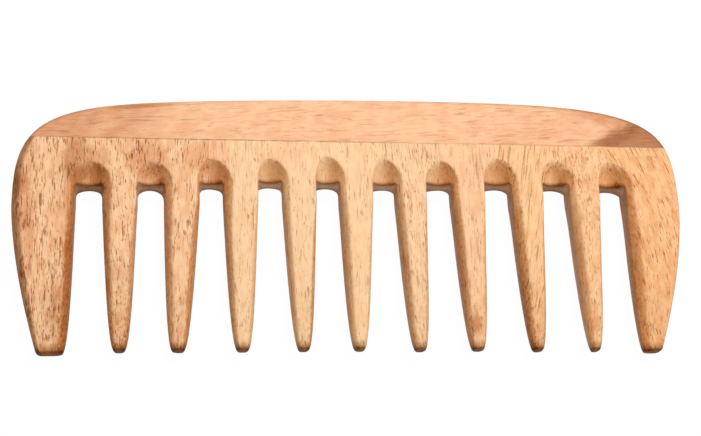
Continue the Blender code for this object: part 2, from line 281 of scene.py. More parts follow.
class CombColours(bpy.types.PropertyGroup):
    """Colours of the wood and of the stage."""

    blush: colour("Blush", (0.92, 0.80, 0.72), "What the redder mottling multiplies the wood by")
    pore: colour("Pores", (0.36, 0.20, 0.07), "What open pores and dark fibres multiply the wood by")
    heart: colour("Heartwood", (0.55, 0.24, 0.11), "Red-brown bands")
    # The ground colour tints ground faces, their painted shade and the browning towards the tips
    ground: colour("Ground faces", (0.82, 0.70, 0.57), "What ground faces multiply the wood by")
    # The wall colour paints shade onto the side walls and the web's underside
    wall: colour("Side walls", (0.50, 0.38, 0.27), "Sawn side walls and undersides")
    # The rim colour paints shade on the rounded outer edge
    rim: colour("Rim", (0.46, 0.40, 0.30), "What the outer edge multiplies the wood by")
    burnt: colour("Tip ends", (0.50, 0.36, 0.16), "What the sawn tip ends multiply the wood by")
    glue: colour("Glue line", (0.34, 0.14, 0.06), "Dark line of glue")
    floor: colour("Floor", (0.80, 0.80, 0.80), "Plain pale floor")


def tip_height(index):
    """Y of the lowest point of a tooth."""
    return STAVE_BOXES[index][0].y + TIP_TRIMS.get(index, 0)


def web_edge(sizes):
    """Y of the web's lower edge."""
    return TIP_Y + sizes.tooth_length


def seam_height(x, sizes):
    """Y of the glue line at x: a straight line that drops evenly from left to right."""
    return web_edge(sizes) + sizes.web_height - sizes.seam_drop * x / (2 * HALF_LENGTH)


def crown_height(x, sizes):
    """Y of the upper outline at x.

    With u the share of the half length: height times (1 - u^side power)^(1 / top power), where
    the height itself sinks with the square of u. The left and right ends have their own numbers.
    """
    u = np.minimum(np.abs(x) / HALF_LENGTH, 1)
    right = np.asarray(x) > 0
    drop = np.where(right, sizes.right_crown_drop, sizes.crown_drop)
    side_power = np.where(right, sizes.right_side_power, sizes.side_power)
    top_power = np.where(right, sizes.right_top_power, sizes.top_power)
    rise = sizes.shoulder_height - drop * u ** 2
    return TOP_Y - sizes.shoulder_height + rise * (1 - u ** side_power) ** (1 / top_power)


def side_reach(y, side, sizes):
    """Distance of the outer edge from the middle at height y, for an array of heights.

    Above the widest point it is the crown's height turned round, by halving. Below, the edge
    draws in with a power of the distance, and a quarter circle rounds the corner at the tip.
    """
    y = np.asarray(y, float)
    low = np.zeros_like(y)
    high = np.full_like(y, HALF_LENGTH)
    for _ in range(HALVINGS):
        middle = (low + high) / 2
        inside = crown_height(side * middle, sizes) > y
        low = np.where(inside, middle, low)
        high = np.where(inside, high, middle)
    tip_y = tip_height(0 if side < 0 else LAST)
    lean = sizes.left_lean if side < 0 else sizes.right_lean
    widest = web_edge(sizes) - sizes.widest_drop
    drop = np.clip((widest - y) / (widest - tip_y), 0, 1)
    corner = sizes.tip_corner
    over = np.clip(corner - (y - tip_y), 0, corner)
    drawn = HALF_LENGTH - lean * drop ** sizes.lean_power - corner + np.sqrt(corner ** 2 - over ** 2)
    return np.where(y < widest, drawn, low)


def seam_end(side, sizes):
    """Y where the glue line meets the outer edge on one side, found by going back and forth."""
    y = seam_height(side * HALF_LENGTH, sizes)
    for _ in range(HALVINGS):
        y = seam_height(side * float(side_reach(y, side, sizes)), sizes)
    return y


def side_points(y, side, sizes):
    """Points of the outer edge at heights y with their outward directions, as four arrays.

    The direction is level up to the glue line, and from there it turns with the edge.
    """
    step = SLOPE_SHARE * (TOP_Y - TIP_Y)
    reach = side_reach(y, side, sizes)
    end_y = seam_end(side, sizes)
    knee_y = crown_height(side * KNEE_SHARE * HALF_LENGTH, sizes)
    turned = np.clip((y - end_y) / (knee_y - end_y), 0, 1)
    turn = turned * np.arctan((reach - side_reach(y + step, side, sizes)) / step)
    return side * reach, y, side * np.cos(turn), np.sin(turn)


def half_thickness(y, tip_y, sizes):
    """Half the thickness at height y: even at the body, easing down to the tip and rounded there."""
    risen = np.clip((y - tip_y) / sizes.taper_length, 0, 1)
    tip = sizes.tip_thickness / 2
    half = tip + (HALF_THICKNESS - tip) * (1 - (1 - risen) ** sizes.taper_power)
    left = 1 - np.clip((y - tip_y) / sizes.end_round, 0, 1)
    return half - sizes.end_round * (1 - np.sqrt(1 - left ** 2))


def flank_profile(width, depth, crown, sizes):
    """Section of a flank on each row: how far out and down it goes, and how far over the crease.

    It starts on the face, bends over the crease along a parabola, runs down the facet with a
    bulge or hollow of the shape 4u(1 - u), and turns into the side wall along a quadratic curve.
    """
    width = width[:, None]
    depth = depth[:, None]
    slope = depth / width
    soft = np.minimum(sizes.crease_round, ROUND_LIMIT_SHARE * width)
    t = np.linspace(-1, 1, CREASE_POINTS)[None, :]
    crease_out = soft * t
    crease_down = slope * soft * (t + 1) ** 2 / 4
    long = np.hypot(width, depth)
    round_by = np.minimum(sizes.corner_round, ROUND_LIMIT_SHARE * long)
    last_out = width - round_by * width / long
    u = np.linspace(0, 1, FACET_POINTS + 1)[None, 1:]
    facet_out = soft + (last_out - soft) * u
    facet_down = slope * facet_out - crown[:, None] * depth * 4 * u * (1 - u)
    q = np.linspace(0, 1, CORNER_POINTS + 1)[None, 1:]
    corner_out = (1 - q) ** 2 * last_out + 2 * q * (1 - q) * width + q ** 2 * width
    corner_down = ((1 - q) ** 2 * slope * last_out + 2 * q * (1 - q) * depth
                   + q ** 2 * (depth + round_by))
    out = np.hstack([crease_out, facet_out, corner_out])
    down = np.hstack([crease_down, facet_down, corner_down])
    return out, down, np.clip((out / soft + 1) / 2, 0, 1)


def tooth_heights(tip_y, sizes):
    """Heights of the rows of a tooth, closest together at the tip."""
    top_y = web_edge(sizes) - sizes.root_fillet - sizes.flank_margin
    return tip_y + (top_y - tip_y) * np.linspace(0, 1, TOOTH_ROWS) ** ROW_POWER


def side_pair(four, side):
    """The two of four values that belong to the left or to the right flank."""
    return four[:2] if side < 0 else four[2:]


def gap_beside(index, side):
    """Number of the gap on one side of a tooth."""
    return index + (side - 1) // 2


def flank_wall(index, side, sizes):
    """Heights of a flank's rows, as shares too, and how far its wall is from the tooth's middle.

    The distance is half of tip width plus a power of the height, plus a hand-sawn share.
    """
    tip_y = tip_height(index)
    y = tooth_heights(tip_y, sizes)
    risen = (y - tip_y) / (web_edge(sizes) - tip_y)
    root_proud, tip_proud = side_pair(FLANK_SHARES[index], side)
    widen = sizes.root_width - sizes.tip_width
    wall_x = ((sizes.tip_width + widen * risen ** sizes.width_power) / 2
              + PITCH * (tip_proud + (root_proud - tip_proud) * risen))
    return y, risen, wall_x


def gap_paths(index, side, sizes):
    """Crease and lip of a tooth's side, the depth between them, and each gap row's place.

    Beside the tooth they bound its facet, which turns into the scoop over a run. Over the gap the
    crease is a quarter ellipse, and the lip turns at a fillet into the web's straight lower edge.
    The place is the distance from the gap's middle, as a share of its half width.
    """
    y, _, wall_x = flank_wall(index, side, sizes)
    web_share, scoop_share = GAP_SHARES[gap_beside(index, side)][:2]
    root_share, tip_share = side_pair(BEVEL_SHARES[index], side)
    root_width = root_share * (sizes.root_bevel if side < 0 else sizes.right_root_bevel)
    full_width = tip_share * (sizes.bevel_width if side < 0 else sizes.right_bevel_width)
    run_length = sizes.bevel_run if side < 0 else sizes.right_bevel_run
    wall_gap = PITCH / 2 - wall_x[-1]
    reach = wall_gap + root_width
    root_depth = sizes.scoop_depth * (1 - (wall_gap / reach) ** 2)
    run = 1 - (1 - np.clip((y[-1] - y) / run_length, 0, 1)) ** 2
    full_depth = half_thickness(y, tip_height(index), sizes) * sizes.bevel_depth
    depth = root_depth + (full_depth - root_depth) * run
    width = (root_width + (full_width - root_width) * run) * (wall_x / wall_x[-1]) ** sizes.bevel_power

    fillet_gap = wall_gap - sizes.root_fillet
    fillet_y = web_edge(sizes) + PITCH * web_share + sizes.scoop_lip - sizes.root_fillet
    rise = sizes.scoop_rise - sizes.scoop_lip + sizes.root_fillet + PITCH * scoop_share
    turn = np.linspace(0, math.acos(fillet_gap / reach), FILLET_ROWS)
    corner = np.linspace(0, math.pi / 2, FILLET_ROWS)
    web_out = np.linspace(fillet_gap, sizes.hairline / 2, WEB_ROWS + 1)[1:]
    lip_out = np.concatenate([fillet_gap + sizes.root_fillet * np.cos(corner), web_out])
    lip_up = np.concatenate([sizes.root_fillet * np.sin(corner), np.full(WEB_ROWS, sizes.root_fillet)])
    crease_out = np.concatenate([reach * np.cos(turn), web_out])
    crease_up = rise * np.concatenate([np.sin(turn), np.sqrt(1 - (web_out / reach) ** 2)])
    crease = np.array([np.concatenate([wall_x - width, PITCH / 2 - crease_out]),
                       np.concatenate([y, fillet_y + crease_up])])
    lip = np.array([np.concatenate([wall_x, PITCH / 2 - lip_out]),
                    np.concatenate([y, fillet_y + lip_up])])
    depth = np.concatenate([depth, sizes.scoop_depth * (1 - (lip_out / reach) ** 2)])
    return crease, lip, depth, np.clip(lip_out / wall_gap, 0, 1)


def gap_marks(index, side, out, ground, scooped, sizes):
    """Marks of a side for its facet and its wall: brownness, scoop, place across and no rim.

    The brownness, partly the wood's own and partly painted shade, runs from tip to root, and from
    one end of a scoop to its middle. In a scoop it comes in with the smooth step of the place
    across, which a share of the scoop's height ends.
    """
    risen = flank_wall(index, side, sizes)[1]
    root_tone, tip_tone = side_pair(FLANK_BROWN_AND_SHADE[index], side)
    left_tone, middle_tone, right_tone, wall_tone = SCOOP_BROWN_AND_SHADE[gap_beside(index, side)]
    end_tone = left_tone if side > 0 else right_tone
    fade = sizes.left_shade_fade if side > 0 else sizes.right_shade_fade
    flank_brown_and_shade = tip_tone + (root_tone - tip_tone) * risen
    rows = FILLET_ROWS + WEB_ROWS
    scoop_brown_and_shade = np.interp(np.arange(rows), (0, FILLET_ROWS, rows - 1),
                            (flank_brown_and_shade[-1], end_tone, middle_tone))
    wall_brown_and_shade = np.linspace(flank_brown_and_shade[-1], wall_tone, rows)
    tones = [np.concatenate([flank_brown_and_shade, later])[:, None] for later in (scoop_brown_and_shade, wall_brown_and_shade)]
    across = np.clip(out / out[:, -1:], 0, 1)
    faded = np.clip(across / fade, 0, 1)
    ground = ground * (1 - scooped * (1 - faded ** 2 * (3 - 2 * faded)))
    walls = np.ones((len(out), WALL_POINTS))
    brown = np.hstack([ground * tones[0], walls * tones[1]])
    scoop = np.hstack([ground, walls]) * scooped
    across = np.hstack([across, 1 + WALL_STEPS * walls])
    return brown, scoop, across, 0 * across


def gap_side(index, centre_x, side, sizes):
    """Rows of the side of a tooth, the scoop above it and the joint to the next stave.

    Each row runs from the crease over the facet or scoop to the lip, and on down the wall, which
    bulges by a quarter sine. The wall's middle follows an elliptical arch over the gap.
    """
    crease, lip, depth, place = gap_paths(index, side, sizes)
    left_arch, right_arch = GAP_SHARES[gap_beside(index, side)][2:]
    arch_share = left_arch if side > 0 else right_arch
    arch_drop = sizes.scoop_lip + PITCH * arch_share * (1 - np.sqrt(1 - place ** 2))
    drop = np.concatenate([np.zeros(TOOTH_ROWS), arch_drop])[:, None]
    scooped = np.clip((np.arange(len(depth)) - TOOTH_ROWS) / FILLET_ROWS, 0, 1)
    width = np.hypot(*(lip - crease))
    away_x, away_y = ((lip - crease) / width)[:, :, None]
    lean = sizes.wall_bulge * width * (1 - scooped)
    crown = sizes.bevel_crown - (sizes.bevel_crown + sizes.scoop_hollow) * scooped
    out, down, ground = flank_profile(width - lean, depth, crown, sizes)
    marks = gap_marks(index, side, out, ground, scooped[:, None], sizes)
    swell = np.sin(math.pi / 2 * WALL_STEPS)
    z = half_thickness(lip[1], tip_height(index), sizes)[:, None] - down
    z = np.hstack([z, z[:, -1:] * (1 - WALL_STEPS)])
    out = np.hstack([out, out[:, -1:] + lean[:, None] * swell])
    grid = np.stack([crease[0][:, None] + away_x * out, crease[1][:, None] + away_y * out, z, *marks])
    grid[Y, :, -WALL_POINTS:] -= drop * swell

    up = 1 - (1 - np.linspace(0, 1, JOINT_ROWS + 1)[1:, None]) ** 2
    joint_x = PITCH / 2 - sizes.hairline / 2
    top_y = seam_height(centre_x + side * joint_x, sizes) - sizes.hairline / 2
    joint = np.repeat(grid[:, -1:], JOINT_ROWS, axis=1)
    joint[Y] += (top_y - joint[Y]) * up
    joint[[GROUND_AND_SHADE, SCOOP, ACROSS]] = 0
    grid = np.concatenate([grid, joint], axis=1)
    grid[X] = centre_x + side * grid[X]
    return grid


def edge_profile(x, y, out_x, out_y, half, sizes):
    """Grid of the rounded outer edge: a quarter ellipse from the face to the middle of the wall."""
    scale = (half / HALF_THICKNESS)[:, None]
    turn = np.linspace(0, math.pi / 2, EDGE_POINTS)[None, :]
    walls = np.ones((len(x), WALL_POINTS))
    inset = np.hstack([sizes.edge_round * scale * (1 - np.sin(turn)), 0 * walls])
    z = half[:, None] - sizes.edge_depth * scale * (1 - np.cos(turn))
    z = np.hstack([z, z[:, -1:] * (1 - WALL_STEPS)])
    # The rim mark, for painted shade, grows as the edge turns away from the face
    rim = np.hstack([np.sin(turn) + 0 * scale, walls])
    plain = 0 * z
    return np.stack([x[:, None] - out_x[:, None] * inset, y[:, None] - out_y[:, None] * inset, z,
                     plain, plain, plain, rim])


def outer_side(side, sizes):
    """Rows of the outer side of an end stave, from the tip up to the glue line."""
    tip_y = tip_height(0 if side < 0 else LAST)
    lower = tooth_heights(tip_y, sizes)
    rows = FILLET_ROWS + WEB_ROWS + JOINT_ROWS
    upper = np.linspace(lower[-1], seam_end(side, sizes), rows + 1)[1:]
    y = np.concatenate([lower, upper])
    grid = edge_profile(*side_points(y, side, sizes), half_thickness(y, tip_y, sizes), sizes)
    grid[Y, -1] = seam_height(grid[X, -1], sizes) - sizes.hairline / 2
    return grid


def face_between(left, right, tip_y, count, sizes):
    """Points of the front face between its two sides, straight across and on the taper."""
    q = np.linspace(0, 1, count + 2)[None, None, 1:-1]
    grid = left[:, :, :1] + (right[:, :, :1] - left[:, :, :1]) * q
    grid[Z] = half_thickness(grid[Y], tip_y, sizes)
    return grid


def close_ring(left, face, right):
    """Joins sides and faces into closed rings: over the front, and mirrored over the back."""
    front = np.concatenate([left[:, :, ::-1], face, right], axis=2)
    back = np.concatenate([right[:, :, :-1][:, :, ::-1], face[:, :, ::-1], left[:, :, :-1]], axis=2)
    back[Z] *= -1
    return np.concatenate([front, back], axis=2)


def ring_mesh(name, grid, marks):
    """A mesh from rings of points, each joined to the next, with marks kept as attributes."""
    _, rows, count = grid.shape
    cells = np.arange(rows * count).reshape(rows, count)
    over = np.roll(cells, -1, axis=1)
    quads = np.stack([cells[:-1], over[:-1], over[1:], cells[1:]], axis=-1).reshape(-1, 4)
    faces = quads.tolist() + [cells[0, ::-1].tolist(), cells[-1].tolist()]
    places = np.stack([grid[X], grid[Y], grid[Z] + HALF_THICKNESS], axis=-1).reshape(-1, 3)
    mesh = bpy.data.meshes.new(name)
    mesh.from_pydata(places.tolist(), [], faces)
    for mark, values in marks.items():
        attribute = mesh.attributes.new(mark, "FLOAT", "POINT")
        attribute.data.foreach_set("value", values.astype(np.float32).ravel())
    solid = bmesh.new()
    solid.from_mesh(mesh)
    bmesh.ops.remove_doubles(solid, verts=solid.verts, dist=MERGE_DISTANCE)
    bmesh.ops.dissolve_degenerate(solid, edges=solid.edges, dist=MERGE_DISTANCE)
    bmesh.ops.recalc_face_normals(solid, faces=solid.faces)
    solid.to_mesh(mesh)
    solid.free()
    mesh.shade_smooth()
    mesh.set_sharp_from_angle(angle=SMOOTH_ANGLE)
    piece = bpy.data.objects.new(name, mesh)
    bpy.context.scene.collection.objects.link(piece)
    return piece


def make_piece(node, grid, tip, seam, material):
    """Makes the mesh of a piece, with its marks and its wood, and lets it stand for its node."""
    marks = {mark: grid[channel] for mark, channel in MARK_CHANNELS.items()}
    piece = ring_mesh(f"{node}_wood", grid, {**marks, "tip": tip, "seam": seam})
    piece.data.materials.append(material)
    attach(piece, BODY)
    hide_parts(node)


def tongue_reach(side, sizes):
    """Distance from the middle at which the tongue of an end stave stops."""
    return float(side_reach(seam_end(side, sizes), side, sizes)) - sizes.tongue_margin


def add_tongue(grid, index, sizes):
    """Adds the tongue's rings: the top ring drawn in to a bar, and the same bar raised."""
    low, high = grid[X, -1].min(), grid[X, -1].max()
    left = -tongue_reach(-1, sizes) if index == 0 else low + sizes.tongue_shoulder
    right = tongue_reach(1, sizes) if index == LAST else high - sizes.tongue_shoulder
    bar = grid[:, -1:].copy()
    bar[X] = left + (bar[X] - low) * (right - left) / (high - low)
    bar[Y] = seam_height(bar[X], sizes) - sizes.hairline / 2
    bar[Z] *= sizes.tongue_thickness / THICKNESS
    top = bar.copy()
    top[Y] += sizes.tongue_height
    return np.concatenate([grid, bar, top], axis=1)


def make_stave(index, sizes, material):
    """One stave: a tooth, its share of the web and the tongue on top."""
    tip_y = tip_height(index)
    centre_x = PITCH * (index - LAST / 2)
    sides = []
    for side, at_end in ((-1, index == 0), (1, index == LAST)):
        if at_end:
            sides.append(outer_side(side, sizes))
            continue
        sides.append(gap_side(index, centre_x, side, sizes))
        if index in (0, LAST):
            # The rim's painted shade may spill over an end stave's face from its outer edge
            sides[-1][RIM_SHADE] = -FACE_RIM_SHADE
    left, right = sides
    count = END_FACE_POINTS if index in (0, LAST) else FACE_POINTS
    grid = close_ring(left, face_between(left, right, tip_y, count, sizes), right)
    grid = add_tongue(grid, index, sizes)
    seam = seam_height(grid[X], sizes) - grid[Y]
    make_piece(STAVES[index], grid, grid[Y] - tip_y, seam, material)


def spine_edge(sizes):
    """The spine's outer edge from its left end to its right end: points and outward directions."""
    knee_x = KNEE_SHARE * HALF_LENGTH
    parts = []
    for side in (-1, 1):
        knee_y = crown_height(side * knee_x, sizes)
        y = np.linspace(seam_end(side, sizes), knee_y, SHOULDER_COLUMNS + 1)[:-1]
        parts.append(side_points(y, side, sizes))
    x = np.linspace(-knee_x, knee_x, CROWN_COLUMNS)
    step = SLOPE_SHARE * HALF_LENGTH
    slope = (crown_height(x + step, sizes) - crown_height(x - step, sizes)) / (2 * step)
    long = np.hypot(1, slope)
    crown = (x, crown_height(x, sizes), -slope / long, 1 / long)
    left, right = parts
    return [np.concatenate([a, b, c[::-1]]) for a, b, c in zip(left, crown, right)]


def make_spine(sizes, material):
    """The back of the comb: rings that run up the front face, over the edge and down the back.

    The underside holds the groove for the tongues, whose depth is zero beyond its two ends.
    """
    x, y, out_x, out_y = spine_edge(sizes)
    edge = edge_profile(x, y, out_x, out_y, np.full_like(x, HALF_THICKNESS), sizes)
    for end in (0, -1):
        edge[Y, end] = seam_height(edge[X, end], sizes)
    foot = edge[:, :, :1].copy()
    foot[Y] = seam_height(foot[X], sizes) + sizes.hairline / 2
    edge[Y] = np.maximum(edge[Y], foot[Y])
    q = np.linspace(0, 1, HEIGHT_POINTS + 1)[None, None, :-1] ** FACE_POWER
    face = foot + (edge[:, :, :1] - foot) * q
    face[Z] = HALF_THICKNESS
    front = np.concatenate([face, edge], axis=2)
    back = front[:, :, :-1][:, :, ::-1].copy()
    back[Z] *= -1
    left_end = -tongue_reach(-1, sizes) - sizes.groove_gap
    right_end = tongue_reach(1, sizes) + sizes.groove_gap
    grooved = (foot[X] > left_end) & (foot[X] < right_end)
    wide = sizes.tongue_thickness / 2 + sizes.groove_gap
    groove = np.repeat(foot, 4, axis=2)
    groove[Y, :, 1:3] += np.where(grooved, sizes.tongue_height + sizes.groove_gap, 0)
    groove[Z] = (-wide, -wide, wide, wide)
    grid = np.concatenate([front, back, groove], axis=2)
    # The rim's painted shade is weakest in the middle of the spine and grows towards both ends
    gain = np.where(grid[X] > 0, RIGHT_RIM_SHADE_GAIN, LEFT_RIM_SHADE_GAIN)
    grid[RIM_SHADE] *= RIM_SHADE_AT_MIDDLE + gain * np.minimum(np.abs(grid[X]) / HALF_LENGTH, 1)
    seam = grid[Y] - seam_height(grid[X], sizes)
    make_piece("spine", grid, np.full_like(seam, sizes.tooth_length), seam, material)


# Blotches in the wood: how wide and how long they are
FIBRES = (0.00026, 0.0035)
BANDS = (0.0030, 0.040)
MOTTLES = (0.0020, 0.0038)
CLUSTERS = (0.0030, 0.0070)
STREAKS = (0.00042, 0.0075)
FINE_PORES = (0.00030, 0.0022)
LONG_PORES = (0.00044, 0.0046)
STROKES = (0.00100, 0.0085)
SPECKS = (0.0006, 0.0010)
CLOUDS = (0.0009, 0.0018)
PATCHES = (0.0025, 0.0040)

# Values of the noise between which each of them comes out
BLUSH_RANGE = (0.40, 0.64)
HEART_RANGE = (0.45, 0.75)
STREAK_RANGE = (0.56, 0.74)
PORE_RANGE = (0.69, 0.81)
ARCH_SHADE_RANGE = (0.40, 0.62)
SPECK_RANGE = (0.50, 0.64)
GRIME_RANGE = (0.48, 0.66)

# Noise made into an amount: what it is multiplied by and what is added
FIBRE_SHADE = (0.30, 0.85)
SATIN = (0.20, 0.38)
STROKE_DEPTHS = (0.6, 0.4)
UNEVENNESS = (0.7, 0.60)
# The next noise breaks up the browning of the tips, partly smudging and partly painted shade
SMUDGE_AND_SHADE_PATCHES = (0.9, 0.25)
END_CLOUDS = (1.0, 0.20)
RIM_PATCHES = (0.6, 0.6)
SEAM_PATCHES = (2.6, -0.55)

# How far from a tip, and from the glue line, marks stay whole and where they have gone
# The first: how far the browning of the tips reaches, partly smudging and partly painted shade
SMUDGE_AND_SHADE_END = (0.0, 0.026)
DARK_END = (0.0004, 0.0027)
BURNT_END = (0.0002, 0.0009)
SEAM_LINE = (0.00008, 0.00034)

# Distance from the middle of a stroke's cell at which it starts to fade, and where it has gone
STROKE_EDGE = (0.105, 0.30)

# Places across a side: shares of the facet's width, and counted anew shares of the wall
CREASE_START = -0.05
CREASE_SOFTNESS = 0.42
LIP_SHADOW_ABOVE = (0.82, 1.0)
LIP_SHADOW_BELOW = (0.12, 0.38)
WALL_EDGE = (0.0, 0.25)

# How strong the marks are
CLUSTER_GAIN = 2.0
PORE_GAIN = 0.22
LONG_PORE_SHARE = 0.85
PORES_CLOSED = -0.4
OUTER_SHARE = 0.6
WALL_SHADE_SHARE = 0.6
ARCH_SHADE_SHARE = 0.15
LIP_SHADOW_SHARE = 0.5
SPECK_SHARE = 0.28
SCOOP_SPECKS = -0.5
GRIME_SHARE = 0.5

# Stains: how ragged their edge is, the noise that makes it so, and their depth in the wood
STAIN_RAGGEDNESS = 1.5
STAIN_NOISE = {"Scale": 4.0, "Detail": 4.0}
STAIN_DEPTH = 0.006

# How the grain is bent, frayed and raised
WARP_SCALE = 60.0
FRAY_SCALE = 1400.0
FRAY_REACH = 0.00014
BEND_START = -0.015
FIBRE_HEIGHT = 0.3
FLECK_ROUGHNESS = 0.2
BUMP_STRENGTH = 0.6
BUMP_DISTANCE = 0.00006
WOOD_GLOSS = 0.05


class Nodes:
    """Makes the nodes of one tree. What feeds a socket is a value or another node's output."""

    def __init__(self, tree):
        self.tree = tree

    def feed(self, sockets, values):
        """Sets each named socket, or links it to the output that is given for it."""
        for name, value in values.items():
            if isinstance(value, bpy.types.NodeSocket):
                self.tree.links.new(value, sockets[name])
            else:
                sockets[name].default_value = value

    def add(self, kind, inputs=None, **settings):
        """Adds a node, sets it up, feeds its sockets and gives its outputs."""
        made = self.tree.nodes.new(kind)
        for name, value in settings.items():
            setattr(made, name, value)
        self.feed(made.inputs, inputs or {})
        return made.outputs

    def group(self, name, make, inputs):
        """The outputs of a node group, which is made when it is first wanted."""
        tree = bpy.data.node_groups.get(name) or make(name)
        return self.add("ShaderNodeGroup", inputs, node_tree=tree)

    def math(self, operation, *values, clamp=False):
        """The result of a Math node."""
        inputs = dict(enumerate(values))
        return self.add("ShaderNodeMath", inputs, operation=operation, use_clamp=clamp)[0]

    def product(self, *values, clamp=False):
        """Two or more values multiplied."""
        now = values[0]
        for value in values[1:-1]:
            now = self.math("MULTIPLY", now, value)
        return self.math("MULTIPLY", now, values[-1], clamp=clamp)

    def scale(self, value, factor, plus, clamp=False):
        """A value multiplied by a factor, plus another value."""
        return self.math("MULTIPLY_ADD", value, factor, plus, clamp=clamp)

    def ease(self, value, low, high, out_low=0.0, out_high=1.0):
        """A value eased from one range to another."""
        inputs = {"Value": value, 1: low, 2: high, 3: out_low, 4: out_high}
        return self.add("ShaderNodeMapRange", inputs, interpolation_type="SMOOTHSTEP")[0]

    def fade(self, value, low, high):
        """One below a range, eased to zero above it."""
        return self.ease(value, low, high, 1.0, 0.0)

    def mix(self, factor, first, second, mode="MIX"):
        """Two colours mixed by a factor."""
        inputs = {0: factor, 6: first, 7: second}
        return self.add("ShaderNodeMix", inputs, data_type="RGBA", blend_type=mode)[2]

    def tint(self, factor, first, second):
        """A colour that is multiplied by a second one where the factor is one."""
        return self.mix(factor, first, second, "MULTIPLY")

    def vector(self, operation, first, second):
        """The result of a Vector Math node."""
        return self.add("ShaderNodeVectorMath", {0: first, 1: second}, operation=operation)[0]

    def joined(self, x, y, z):
        """A vector from its three parts."""
        return self.add("ShaderNodeCombineXYZ", {0: x, 1: y, 2: z})[0]

    def blotches(self, vector, across, along, detail=2.0):
        """Noise whose blotches are across wide and along long."""
        scaled = self.vector("MULTIPLY", vector, (1 / across, 1 / along, 1 / across))
        return self.add("ShaderNodeTexNoise", {"Vector": scaled, "Scale": 1.0, "Detail": detail})["Fac"]

    def pushed(self, vector, scale, amount):
        """A vector that noise of the given scale pushes about by the given amount."""
        noise = self.add("ShaderNodeTexNoise", {"Vector": vector, "Scale": scale, "Detail": 1.0})
        centred = self.vector("SUBTRACT", noise["Color"], (0.5, 0.5, 0.5))
        push = self.add("ShaderNodeVectorMath", {0: centred, "Scale": amount}, operation="SCALE")[0]
        return self.vector("ADD", vector, push)


def new_group(name, takes, gives):
    """A shader node group with sockets of the given kinds: its nodes, its inputs and its outputs."""
    tree = bpy.data.node_groups.new(name, "ShaderNodeTree")
    for way, kinds in (("INPUT", takes), ("OUTPUT", gives)):
        for kind, labels in kinds.items():
            for label in labels:
                tree.interface.new_socket(label, in_out=way, socket_type=f"NodeSocket{kind}")
    nodes = Nodes(tree)
    return nodes, nodes.add("NodeGroupInput"), tree.nodes.new("NodeGroupOutput").inputs


def open_pores(nodes, place, size, amount):
    """Short ragged flecks: stretched noise above a limit that falls as the amount grows."""
    noise = nodes.blotches(place, *size)
    return nodes.ease(nodes.math("ADD", noise, nodes.product(amount, PORE_GAIN)), *PORE_RANGE)


def long_strokes(nodes, place, amount):
    """Dark strokes: the cores of stretched cells.

    A cell's own random colour says whether its stroke is kept and how dark it is.
    """
    across, along = STROKES
    scaled = nodes.vector("MULTIPLY", place, (1 / across, 1 / along, 1 / across))
    cells = nodes.add("ShaderNodeTexVoronoi", {"Vector": scaled, "Scale": 1.0})
    chance = nodes.add("ShaderNodeSeparateColor", {0: cells["Color"]})
    kept = nodes.math("LESS_THAN", chance[0], amount)
    core = nodes.fade(cells["Distance"], *STROKE_EDGE)
    return nodes.product(core, kept, nodes.scale(chance[1], *STROKE_DEPTHS))


def grain_group(name):
    """Wood with its grain along Y: fibres, bands, streaks, short open pores and long strokes.

    The vector is bent by slow noise first, and frayed by fine noise for the dark flecks.
    """
    nodes, given, result = new_group(name, {
        "Vector": ("Vector",),
        "Color": ("Wood Color", "Blush Color", "Pore Color", "Heart Color"),
        "Float": ("Pores", "Strokes", "Streaks", "Bands", "Mottling", "Strength", "Length", "Warp"),
    }, {"Color": ("Color",), "Float": ("Height", "Rough")})
    bent = nodes.pushed(given["Vector"], WARP_SCALE, given["Warp"])
    fibre = nodes.blotches(bent, *FIBRES)
    mottle = nodes.blotches(bent, *MOTTLES, detail=3.0)
    shade = nodes.scale(fibre, *FIBRE_SHADE)
    now = nodes.tint(1.0, given["Wood Color"], nodes.joined(shade, shade, shade))
    blushing = nodes.product(nodes.ease(mottle, *BLUSH_RANGE), given["Mottling"])
    now = nodes.tint(blushing, now, given["Blush Color"])
    heart = nodes.ease(nodes.blotches(bent, *BANDS), *HEART_RANGE)
    now = nodes.mix(nodes.product(heart, given["Bands"]), now, given["Heart Color"])

    frayed = nodes.pushed(bent, FRAY_SCALE, FRAY_REACH)
    shorter = nodes.math("DIVIDE", 1.0, given["Length"])
    place = nodes.vector("MULTIPLY", frayed, nodes.joined(1.0, shorter, 1.0))
    dense = nodes.product(nodes.blotches(bent, *CLUSTERS, detail=1.0), CLUSTER_GAIN)
    amount = nodes.product(given["Pores"], dense)
    fine = open_pores(nodes, place, FINE_PORES, amount)
    longer = open_pores(nodes, place, LONG_PORES, nodes.product(amount, LONG_PORE_SHARE))
    strokes = long_strokes(nodes, place, nodes.product(given["Strokes"], dense))
    flecks = nodes.math("MAXIMUM", fine, nodes.math("MAXIMUM", longer, strokes))
    streak = nodes.ease(nodes.blotches(place, *STREAKS, detail=1.0), *STREAK_RANGE)
    dark = nodes.math("MAXIMUM", nodes.product(streak, given["Streaks"]),
                      nodes.product(flecks, given["Strength"]))
    nodes.feed(result, {
        "Color": nodes.tint(dark, now, given["Pore Color"]),
        "Height": nodes.scale(dark, -1.0, nodes.product(fibre, FIBRE_HEIGHT)),
        "Rough": nodes.scale(dark, FLECK_ROUGHNESS, nodes.scale(mottle, *SATIN)),
    })
    return nodes.tree


